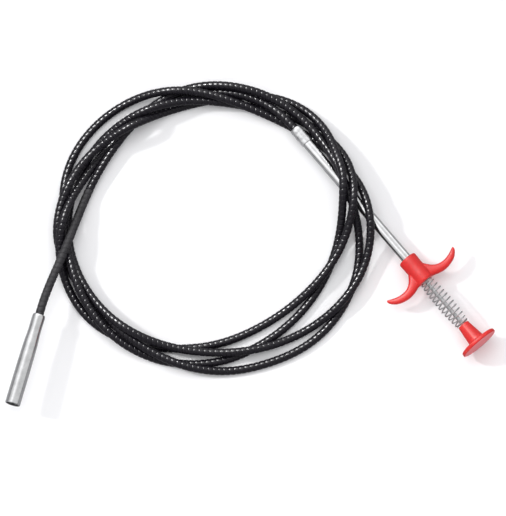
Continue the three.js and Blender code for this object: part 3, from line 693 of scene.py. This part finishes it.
# Turn numbers where the hose changes finish or piece
MATTE_TURN = int((hose.length - 122.0) / PITCH)
SWING_TURN = int((SWING_AT - 8.0) / PITCH)
MIDDLE_TURN = int(round((SWING_AT + 7.0) / PITCH - 0.5))
TIP_TURN = int((LIFT_AT + 9.0) / PITCH)
END_TURN = int((hose.length - 1.0) / PITCH)
BLACK_PIECES = 5


def hose_point(distance):
    return hose.at(np.array([np.clip(distance, 0, hose.length)]))[0][0]


def wound_hose(name, first_turn, last_turn, matte=True):
    """Turns of the close-wound strip as one closed body. Turn k starts k x PITCH along."""
    material, growth = (MATTE_MAT, MATTE_GROWTH) if matte else (HOSE_MAT, 0.0)
    sides, per_turn = HOSE_SIDES, len(STRIP)
    rows = (last_turn - first_turn) * per_turn + 1
    around = np.arange(sides) / sides
    angles = around * 2 * math.pi
    grid = np.zeros((rows, sides, 3))
    for row in range(rows):
        turn, k = divmod(row, per_turn)
        share, radius = STRIP[k]
        distance = (first_turn + turn + share + around) * PITCH
        centre, _, across, up = hose.at(np.clip(distance, 0, hose.length))
        ring = np.cos(angles)[:, None] * across + np.sin(angles)[:, None] * up
        grid[row] = centre + (radius + growth) * ring

    def index(row, column):
        return row * sides + column

    faces = [
        [index(row, i), index(row, i + 1), index(row + 1, i + 1), index(row + 1, i)]
        for row in range(rows - 1) for i in range(sides - 1)
    ]
    # the last column of one turn joins the first column of the next
    end = sides - 1
    for row in range(rows - 1 - per_turn):
        after = row + per_turn
        faces.append([index(row, end), index(after, 0), index(after + 1, 0), index(row + 1, end)])
    verts = [tuple(point) for point in grid.reshape(-1, 3)]
    # end caps: round the last ring and back along the strip's cut end
    first_loop = [index(0, i) for i in range(sides)]
    first_loop += [index(row, 0) for row in range(per_turn, 0, -1)]
    last_loop = [index(rows - 1, i) for i in range(end)]
    last_loop += [index(row, end) for row in range(rows - 1, rows - 2 - per_turn, -1)]
    add_cap(verts, faces, first_loop, tuple(hose_point((first_turn + 0.6) * PITCH)))
    add_cap(verts, faces, last_loop, tuple(hose_point((last_turn + 0.4) * PITCH)))
    return add_mesh(name, verts, faces, material)


def build_hose():
    """The coil in five black pieces and a matte one, two bends, and the run into the tip."""
    parts = []
    cuts = [int(round(MATTE_TURN * k / BLACK_PIECES)) for k in range(BLACK_PIECES + 1)]
    cuts.append(SWING_TURN)
    for i in range(BLACK_PIECES + 1):
        matte = i == BLACK_PIECES
        name = "hose_free_end" if matte else f"hose_turn_{i + 1}"
        ob = wound_hose(name, cuts[i], cuts[i + 1], matte)
        fit(ob, "tool_body", "hose_coil")
        parts.append(ob)
    for name, first, last, joints, centre in (
        ("hose_bend_swing", SWING_TURN, MIDDLE_TURN, ("tool_body", "hose_link"), SWING_AT),
        ("hose_bend_lift", MIDDLE_TURN, TIP_TURN, ("hose_link", "tip"), LIFT_AT),
    ):
        ob = wound_hose(name, first, last)
        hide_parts("hose_link")
        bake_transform(ob)
        parts.append(ob)
    ob = wound_hose("hose_tip_run", TIP_TURN, END_TURN)
    fit(ob, "tip", "hose_end")
    return [*parts, ob]


# ------------------------------------------------------------------ handle
# Profiles are (radius, distance along the axis)
FERRULE_BORE = [
    (3.45, -1.4), (3.35, -1.1), (3.45, -0.6), (3.45, 8.3), (4.1, 8.6), (4.1, 13.5), (4.35, 13.6),
]
FERRULE_MOUTH = [(4.47, 0.6), (4.38, 0.0), (4.2, -0.6), (3.9, -1.1), (3.6, -1.4)]
CRIMPS = [(3.6, 1.0), (9.8, 0.8)]  # distance along, relative depth
CRIMP_DEPTH = 0.26
CRIMP_WIDTH = 1.0
TUBE_BORE_R, TUBE_R = 3.35, 3.95
TUBE_START, TUBE_END = 8.8, 151.0
ROD_R = 1.5
ROD_START, ROD_END = 98.3, 212.0


def crimp(radius, z, angles):
    """Two six-lobed rings pressed into the ferrule, and a faint three-lobed wave."""
    if radius < 4.2:
        return 0.0
    press = sum(depth * math.exp(-(((z - at) / CRIMP_WIDTH) ** 2)) for at, depth in CRIMPS)
    lobes = 0.55 + 0.45 * np.cos(6 * angles)
    return -CRIMP_DEPTH * press * lobes + 0.015 * np.sin(3 * angles + z)


def build_ferrule():
    barrel = [(4.5, z) for z in np.arange(13.2, 1.2, -0.4)]
    profile = FERRULE_BORE + barrel + FERRULE_MOUTH
    ob = turned("ferrule_crimped", profile, HANDLE, FERRULE_MAT, sides=72, wobble=crimp)
    fit(ob, "tool_body", "hose_ferrule")


def build_handle_tube():
    outside = [(TUBE_R, z) for z in (TUBE_END, 120.0, 80.0, 40.0, TUBE_START)]
    profile = [(TUBE_BORE_R, TUBE_START), (TUBE_BORE_R, TUBE_END), *outside]
    profile = rounded(profile, radius=0.15, steps=3)
    ob = turned("handle_tube_bright", profile, HANDLE, TUBE_MAT, sides=72, sharp=35)
    fit(ob, "tool_body", "handle_tube")


def build_plunger_rod():
    profile = [(0, ROD_START), (ROD_R, ROD_START), (ROD_R, ROD_END), (0, ROD_END)]
    profile = rounded(profile, radius=0.3, steps=3)
    ob = turned("plunger_rod_bright", profile, HANDLE, WIRE_MAT, sides=32, sharp=35)
    fit(ob, "plunger", "plunger_rod")


# Finger grip: outlines of one wing from the collar outwards, (x across, z along)
HOSE_SIDE_EDGE = [
    (5.5, 140.2), (7.2, 141.4), (8.9, 143.7), (11.4, 146.6), (14.8, 148.8),
    (18.5, 149.7), (22.5, 149.6), (26.5, 148.6), (30.0, 147.1), (32.3, 146.0),
]
CAP_SIDE_EDGE = [
    (5.0, 153.4), (8.5, 154.2), (12.0, 155.3), (16.0, 156.0), (20.0, 155.9),
    (24.0, 155.1), (28.0, 153.4), (31.0, 151.0), (32.9, 148.2), (33.0, 146.6),
]
# Share of the way out along the wing, half thickness
WING_THICKNESS = [(0, 3.9), (0.15, 3.9), (0.4, 3.7), (0.7, 3.0), (0.9, 2.1), (1.0, 0.9)]
WING_ROOT_X = 1.0  # the roots start inside the collar
WING_SQUARENESS = 0.72  # below 1 the section is squarer than an ellipse
WING_STATIONS, WING_SIDES = 46, 28
COLLAR = [
    (0, 130.9), (6.3, 130.9), (7.1, 131.2), (7.45, 131.9), (7.4, 135.5), (7.2, 139.5),
    (7.25, 143.5), (7.4, 147.0), (7.3, 150.0), (7.2, 152.4), (6.8, 153.3), (6.2, 153.7),
    (0, 153.7),
]
GRIP_BORE = [(0, 125.0), (4.25, 125.0), (4.25, 160.0), (0, 160.0)]


def wing_edge(outline, root_z):
    curve = catmull(np.array([[x, 0, z] for x, z in outline]), per_span=6)
    edge = resample(curve, WING_STATIONS)
    edge[0] = [WING_ROOT_X, 0, root_z]
    return edge


def wing(side):
    """Points and faces of one wing; side is +1 or -1 across the handle."""
    near = wing_edge(HOSE_SIDE_EDGE, root_z=140.0)
    far = wing_edge(CAP_SIDE_EDGE, root_z=153.4)
    verts = []
    for station in range(WING_STATIONS):
        middle = (near[station] + far[station]) / 2
        half = (far[station] - near[station]) / 2
        out = station / (WING_STATIONS - 1)
        thickness = float(np.interp(out, *zip(*WING_THICKNESS)))
        for i in range(WING_SIDES):
            angle = 2 * math.pi * i / WING_SIDES
            wide, high = [
                math.copysign(abs(value) ** WING_SQUARENESS, value)
                for value in (math.cos(angle), math.sin(angle))
            ]
            point = middle + half * wide
            verts.append([side * point[0], thickness * high, point[2]])
    faces = band_faces(WING_STATIONS, WING_SIDES)
    if side < 0:
        faces = [face[::-1] for face in faces]
    for ring in (0, WING_STATIONS - 1):
        loop = ring_loop(ring, WING_SIDES)
        centre = list(np.mean(verts[loop[0] : loop[-1] + 1], axis=0))
        add_cap(verts, faces, loop, centre)
    return verts, faces


def build_finger_grip():
    """Collar and two crescent wings, remeshed so that they meet in moulded fillets."""
    verts, faces = [], []
    for part_verts, part_faces in (wing(1), wing(-1), revolve(COLLAR, 64)):
        base = len(verts)
        verts += part_verts
        faces += [[base + i for i in face] for face in part_faces]
    grip = add_mesh("finger_grip_moulded", place(verts, HANDLE), faces, RED_MAT)
    apply_modifier(grip, "REMESH", mode="VOXEL", voxel_size=0.00045, use_smooth_shade=True)
    apply_modifier(grip, "SMOOTH", factor=0.5, iterations=9)
    cut_away(grip, turned("bore_cutter", GRIP_BORE, HANDLE, RED_MAT, sides=64))
    for polygon in grip.data.polygons:
        polygon.use_smooth = True
    grip.data.set_sharp_from_angle(angle=math.radians(40))
    set_material(grip, RED_MAT)
    fit(grip, "tool_body", "finger_grip")
    return grip


CAP_START = 197.3
THUMB_CAP = [
    (0, 212.4), (1.7, 212.4), (1.7, CAP_START), (3.9, CAP_START), (4.6, 197.6), (4.75, 199.0),
    (6.3, 211.4), (6.8, 212.8), (8.0, 213.5), (14.4, 214.0), (15.1, 214.4), (15.3, 215.1),
    (15.3, 216.3), (15.0, 216.9), (14.2, 217.1), (6.0, 217.1), (0, 217.1),
]


def build_thumb_cap():
    profile = rounded(THUMB_CAP, radius=0.5, steps=4)
    ob = turned("thumb_cap_moulded", profile, HANDLE, RED_MAT, sides=96, sharp=60)
    fit(ob, "plunger", "thumb_cap")
    return ob


# Return spring: barrel-shaped, from the grip's collar to the cap
SPRING_WIRE_R = 0.50
SPRING_TURNS = 12.5
SPRING_SEAT = 153.6
SPRING_GAP = 0.35  # clearance at each end
SPRING_END_R, SPRING_MIDDLE_R = 4.5, 6.2
CLOSE_SHARE = 0.06  # share of the wire that is wound close at each end
CLOSE_RISE = 0.35  # how fast that part climbs


def build_return_spring():
    start = SPRING_SEAT + SPRING_GAP + SPRING_WIRE_R
    end = CAP_START - SPRING_GAP - SPRING_WIRE_R
    t = np.linspace(0, 1, 900)
    bulge = (SPRING_MIDDLE_R - SPRING_END_R) * np.sin(math.pi * t) ** 0.7
    radius = SPRING_END_R + bulge
    middle_share = (t - CLOSE_SHARE) / (1 - 2 * CLOSE_SHARE)
    middle_climb = CLOSE_RISE * CLOSE_SHARE + middle_share * (1 - 2 * CLOSE_RISE * CLOSE_SHARE)
    climb = np.where(t > 1 - CLOSE_SHARE, 1 - CLOSE_RISE * (1 - t), middle_climb)
    climb = np.where(t < CLOSE_SHARE, CLOSE_RISE * t, climb)
    angle = t * SPRING_TURNS * 2 * math.pi
    z = start + (end - start) * climb
    helix = np.stack([radius * np.cos(angle), radius * np.sin(angle), z], 1)
    line = Line(place(helix, HANDLE), step=0.25)
    radii = [(0, SPRING_WIRE_R)]
    ob = swept("plunger_spring", line, radii, sides=12, step=0.9, material=WIRE_MAT)
    fit(ob, "tool_body", "return_spring")
    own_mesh(ob)


# ------------------------------------------------------------------ tip
# (radius, distance): up the bore, round the mouth, back down the outside
TIP_TUBE = [
    (3.6, 0.0), (3.6, 13.0), (4.3, 16.0), (4.8, 27.0), (4.8, 50.0), (4.8, TIP_LENGTH),
    (5.5, TIP_LENGTH), (5.75, TIP_LENGTH - 0.35), (5.75, 60.0), (5.73, 50.0), (5.62, 36.0),
    (5.48, 25.0), (5.25, 20.0), (5.0, 16.5), (4.88, 13.0), (4.85, 9.0), (4.95, 4.0), (4.9, 1.6),
    (4.55, 0.0),
]
HUB_REAR, HUB_FRONT = CLAW_PIVOT - 7.4, CLAW_PIVOT + 0.8
HUB = [
    (0, HUB_REAR + 3.6), (1.35, HUB_REAR + 3.6), (1.35, HUB_REAR), (2.5, HUB_REAR),
    (2.7, HUB_REAR + 0.3), (2.7, HUB_FRONT - 0.3), (2.5, HUB_FRONT), (0, HUB_FRONT),
]
CLAW_RING = [
    (3.0, HUB_REAR + 3.0), (3.0, HUB_FRONT - 0.4), (3.6, HUB_FRONT - 0.4), (3.6, HUB_REAR + 3.0),
]
# Hub slot: distances from the axis, across the slot and along the axis
SLOT_OUT = (0.45, 4.45)
SLOT_ACROSS = (-0.8, 0.8)
SLOT_ALONG = (HUB_FRONT - 3.6, HUB_FRONT + 0.8)
BOX_FACES = [
    [0, 1, 3, 2], [4, 6, 7, 5], [0, 4, 5, 1], [2, 3, 7, 6], [0, 2, 6, 4], [1, 5, 7, 3],
]
CLAW_ANGLES = [i * math.pi / 2 + math.pi / 4 for i in range(4)]
# Claw wire, ending in an inward hook: distance from the pivot, radius from the axis
CLAW_LINE = [
    (-1.7, 1.35), (0, 1.35), (8, 1.45), (14, 1.6), (19, 1.95),
    (24, 2.6), (27.6, 3.35), (29.6, 3.45), (30.45, 2.7), (30.45, 1.75),
]
CLAW_WIRE_R, CLAW_POINT_R = 0.45, 0.12
CLAW_TAPER = 1.3  # length of the pointed end


def build_tip_tube():
    profile = rounded(TIP_TUBE, radius=0.35, steps=4)
    ob = turned("tip_tube_bright", profile, TIP, TIP_MAT, sides=96, sharp=40)
    ob.data.materials.append(BORE_SHADE_MAT)
    axis = Vector(unit(TIP_DIR))
    for polygon in ob.data.polygons:
        outward = polygon.center - Vector(TIP_AT * MM)
        outward -= axis * outward.dot(axis)
        # faces that look towards the axis belong to the bore and get its painted shade
        if polygon.normal.dot(outward.normalized()) < -0.3:
            polygon.material_index = 1
    fit(ob, "tip", "tip_tube")


def build_claw_hub():
    """Hub with a blind hole at the rear and a slot for each claw at the front."""
    hub = turned("claw_hub_slotted", HUB, TIP, ZINC_MAT, sides=40)
    for angle in CLAW_ANGLES:
        cosine, sine = math.cos(angle), math.sin(angle)
        corners = [
            [x * cosine - y * sine, x * sine + y * cosine, z]
            for x in SLOT_OUT for y in SLOT_ACROSS for z in SLOT_ALONG
        ]
        corners = place(corners, TIP)
        cut_away(hub, add_mesh("slot_cutter", corners, BOX_FACES, ZINC_MAT, smooth=False))
    set_material(hub, ZINC_MAT)
    hub.data.set_sharp_from_angle(angle=math.radians(35))
    fit(hub, "claw_carriage", "claw_hub")


def build_claw_ring():
    profile = rounded(CLAW_RING, radius=0.25, steps=4)
    ob = turned("claw_ring_rolled", profile, TIP, ZINC_MAT, sides=48, sharp=40)
    fit(ob, "claw_carriage", "claw_crimp_ring")


def build_claws():
    for number, angle in enumerate(CLAW_ANGLES, 1):
        points = np.array([
            [radius * math.cos(angle), radius * math.sin(angle), CLAW_PIVOT + ahead]
            for ahead, radius in CLAW_LINE
        ])
        line = Line(place(catmull(points, per_span=20), TIP), step=0.1, smooth=2)
        radii = [(line.length - CLAW_TAPER, CLAW_WIRE_R), (line.length, CLAW_POINT_R)]
        name = f"claw_wire_{number}"
        ob = swept(name, line, radii, sides=14, step=0.5, material=CLAW_MAT)
        fit(ob, f"claw_{number}", f"claw_{number}")


# ------------------------------------------------------------------ stage (metres)
def pale_floor():
    """Near-white matt floor that looks grey in reflections."""
    material, tree, bsdf = new_material("pale_floor")
    clouds = noise(tree, coordinates(tree), scale=3.0, detail=2.0)
    pale = colour_ramp(tree, clouds, [(0.2, (0.92, 0.92, 0.93)), (0.8, (0.935, 0.935, 0.945))])
    reflected = add_node(tree, "ShaderNodeLightPath").outputs["Is Glossy Ray"]
    feed(tree, bsdf, {
        "Roughness": 0.9,
        "Specular IOR Level": 0.0,
        "Base Color": mix(tree, reflected, pale, (0.30, 0.30, 0.305, 1)),
    })
    return material


def build_floor(half=3.0, z=-0.0003):
    mesh = bpy.data.meshes.new("floor")
    corners = [(-half, -half, 0), (half, -half, 0), (half, half, 0), (-half, half, 0)]
    mesh.from_pydata(corners, [], [(0, 1, 2, 3)])
    mesh.materials.append(pale_floor())
    ob = bpy.data.objects.new("floor", mesh)
    ob.location.z = z
    bpy.context.scene.collection.objects.link(ob)


def aim(ob, location, target):
    """Puts a lamp or camera in the scene, looking at the target."""
    ob.location = location
    ob.rotation_euler = (Vector(target) - ob.location).to_track_quat("-Z", "Y").to_euler()
    bpy.context.scene.collection.objects.link(ob)


def add_light(name, kind, location, power, target=(0, 0, 0), **settings):
    lamp = bpy.data.lights.new(name, kind)
    lamp.energy = power
    for key, value in settings.items():
        setattr(lamp, key, value)
    ob = bpy.data.objects.new(name, lamp)
    aim(ob, location, target)
    return ob


def build_lights(glint_on):
    """Key from -X, soft top light, and a glint seen only as a reflection on the given objects."""
    key = add_light(
        "key", "SPOT", location=(-3.04, 0.66, 2.72), target=(-0.14, -0.08, 0.0), power=1000.0,
        color=(1.0, 0.995, 0.99), shadow_soft_size=0.36, spot_size=math.radians(7.0),
        spot_blend=1.0)
    key.visible_glossy = False
    top = add_light(
        "top", "AREA", location=(-0.12, 0.28, 1.9), power=14.8, shape="RECTANGLE",
        size=1.4, size_y=1.4)
    top.visible_glossy = False
    glint = add_light(
        "glint", "AREA", location=(-0.80, 1.00, 1.75), power=112.0, shape="RECTANGLE",
        size=0.45, size_y=0.45)
    glint.visible_diffuse = False
    receivers = bpy.data.collections.new("lit_by_glint")
    for ob in glint_on:
        receivers.objects.link(ob)
    glint.light_linking.receiver_collection = receivers


# World seen in reflections: (position, grey)
BRIGHT_SIDE = (-0.9, 0.44, 0.0)
# 0 is away from the bright side, 1 straight towards it
SIDE_GREYS = [
    (0.0, 0.52), (0.16, 0.55), (0.40, 0.57), (0.52, 0.62), (0.60, 0.79),
    (0.68, 1.0), (0.76, 1.0), (0.86, 0.79), (0.94, 0.50), (1.0, 0.38),
]
# 0 is the back (+Y), 1 the front (-Y)
FRONT_GREYS = [
    (0.08, 0.75), (0.175, 0.85), (0.285, 0.52), (0.405, 0.48),
    (0.525, 0.58), (0.635, 0.42), (0.705, 0.23), (0.85, 0.28),
]
# 0 is the horizon, 1 straight up
HEIGHT_GREYS = [(0.0, 0.25), (0.12, 0.40), (0.25, 1)]


def background(tree, colour, strength):
    node = add_node(tree, "ShaderNodeBackground")
    feed(tree, node, {"Color": colour, "Strength": strength})
    return node.outputs[0]


def build_world():
    """Even soft light, and a banded grey surround for reflections only."""
    world = bpy.data.worlds.new("studio")
    bpy.context.scene.world = world
    world.use_nodes = True
    tree = world.node_tree
    tree.nodes.clear()
    output = add_node(tree, "ShaderNodeOutputWorld")
    soft = background(tree, (0.985, 0.985, 1.0, 1), strength=0.73)
    direction = add_node(tree, "ShaderNodeTexCoord").outputs["Generated"]
    split = add_node(tree, "ShaderNodeSeparateXYZ")
    tree.links.new(direction, split.inputs[0])
    towards = remap(tree, dot_with(tree, direction, BRIGHT_SIDE), over=(-1.0, 1.0))
    side = grey_ramp(tree, towards, SIDE_GREYS)
    front = grey_ramp(tree, remap(tree, split.outputs["Y"], over=(1.0, -1.0)), FRONT_GREYS)
    height = grey_ramp(tree, split.outputs["Z"], HEIGHT_GREYS)
    surround = multiply(tree, multiply(tree, side, front), height)
    mirrored = background(tree, surround, strength=2.4)
    reflected = add_node(tree, "ShaderNodeLightPath").outputs["Is Glossy Ray"]
    pick = add_node(tree, "ShaderNodeMixShader")
    feed(tree, pick, {0: reflected, 1: soft, 2: mirrored})
    tree.links.new(pick.outputs[0], output.inputs[0])


CAMERA_ELEVATION = math.radians(79.0)
CAMERA_DISTANCE = 7.0
VIEW_HEIGHT = 392.16 * MM  # height of the view at the layout origin
SENSOR_HEIGHT = 24.0  # mm, as is the lens


def build_camera():
    camera = bpy.data.cameras.new("camera")
    ob = bpy.data.objects.new("camera", camera)
    target = Vector(LAYOUT_ORIGIN * MM)
    back = Vector((0, -math.cos(CAMERA_ELEVATION), math.sin(CAMERA_ELEVATION)))
    aim(ob, target + back * CAMERA_DISTANCE, target)
    camera.sensor_fit = "VERTICAL"
    camera.sensor_height = SENSOR_HEIGHT
    camera.lens = SENSOR_HEIGHT * CAMERA_DISTANCE / VIEW_HEIGHT
    camera.clip_start = 0.1
    camera.clip_end = 60
    scene = bpy.context.scene
    scene.camera = ob
    scene.view_settings.view_transform = "Standard"
    scene.view_settings.look = "None"
    scene.view_settings.exposure = 0.0


# ------------------------------------------------------------------ build
hose_parts = build_hose()
build_ferrule()
build_handle_tube()
build_plunger_rod()
finger_grip = build_finger_grip()
thumb_cap = build_thumb_cap()
build_return_spring()
build_tip_tube()
build_claw_hub()
build_claw_ring()
build_claws()
build_floor()
build_lights(glint_on=[*hose_parts, finger_grip, thumb_cap])
build_world()
build_camera()
